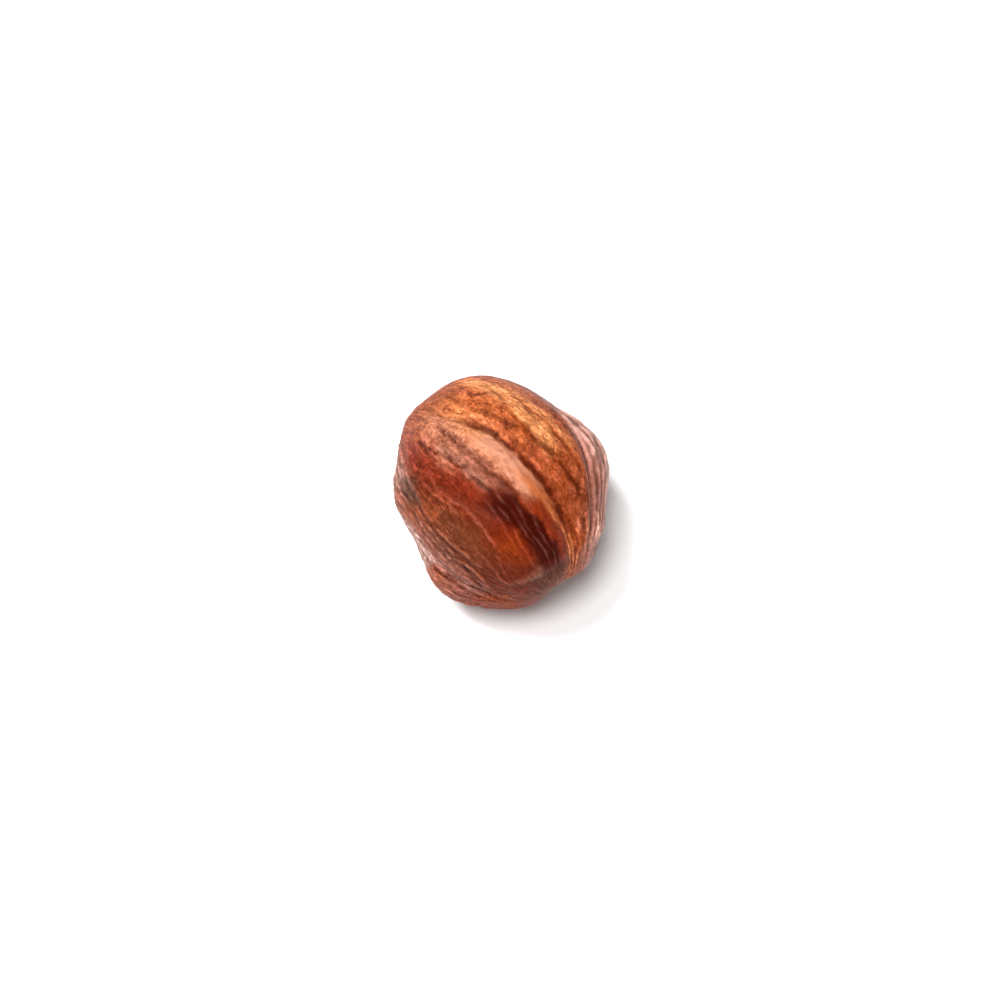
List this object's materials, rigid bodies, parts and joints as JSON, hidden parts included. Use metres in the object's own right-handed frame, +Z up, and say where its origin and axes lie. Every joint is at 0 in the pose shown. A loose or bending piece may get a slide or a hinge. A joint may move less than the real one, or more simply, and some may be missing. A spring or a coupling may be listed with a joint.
{
  "type": "hazelnut kernel",
  "caption": "Shelled hazelnut kernel with a wrinkled brown papery skin, lying on its side, for food and table scenes.",
  "frame": {"origin": "middle of the bottom of the bounding box, on the surface that the kernel rests on", "axes": "+X from the blunt base of the kernel to its tip, +Z up"},
  "size_m": [0.0148, 0.0134, 0.0131],
  "materials": {
    "skin": "satin papery nut skin, orange-brown to dark red"
  },
  "bodies": {
    "root": {"hazelnut_kernel": "skin"}
  },
  "joints": []
}
